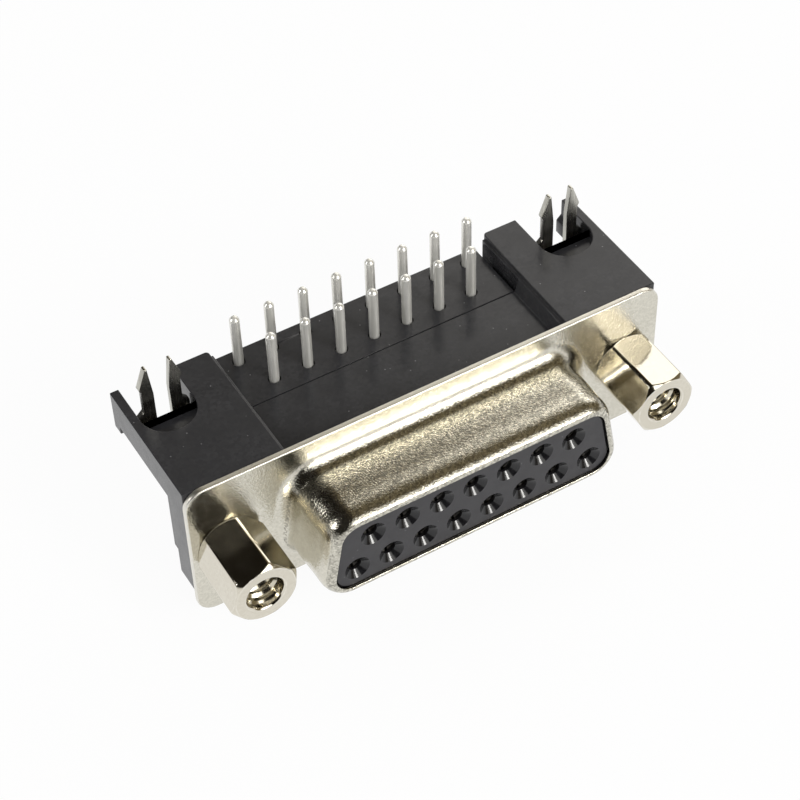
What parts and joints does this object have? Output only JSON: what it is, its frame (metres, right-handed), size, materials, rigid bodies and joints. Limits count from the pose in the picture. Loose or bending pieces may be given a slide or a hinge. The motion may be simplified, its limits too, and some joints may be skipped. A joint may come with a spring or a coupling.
{
  "type": "right-angle d-sub socket connector",
  "caption": "Right-angle board connector: plated D shell over a black moulded body, countersunk sockets, bent solder tails, forked board locks and hexagonal threaded posts.",
  "frame": {"origin": "centre of the part's footprint on the surface it lies on, with the flange's lower edge at Z = 0", "axes": "+X along the flange, +Y away from the mating face, +Z towards the board side, so the solder tails point up"},
  "size_m": [0.0392, 0.018, 0.0163],
  "materials": {
    "shell": "satin nickel plating on drawn steel",
    "insulator": "moulded, semi-matt",
    "housing": "moulded, semi-gloss",
    "guide": "moulded, semi-gloss",
    "contact": "matt tin plating on copper alloy",
    "lock": "tin plated sheet with bright cut edges",
    "post": "bright nickel plating on turned steel",
    "nut": "nickel plating"
  },
  "bodies": {
    "root": {"front_shell": "shell", "front_insulator": "insulator", "housing": "housing", "tail_guide": "guide", "contact_01": "contact", "contact_02": "contact", "contact_03": "contact", "contact_04": "contact", "contact_05": "contact", "contact_06": "contact", "contact_07": "contact", "contact_08": "contact", "contact_09": "contact", "contact_10": "contact", "contact_11": "contact", "contact_12": "contact", "contact_13": "contact", "contact_14": "contact", "contact_15": "contact", "board_lock_left": "lock", "board_lock_right": "lock", "jack_post_left": "post", "jack_post_right": "post", "lock_nut_left": "nut", "lock_nut_right": "nut"}
  },
  "joints": []
}
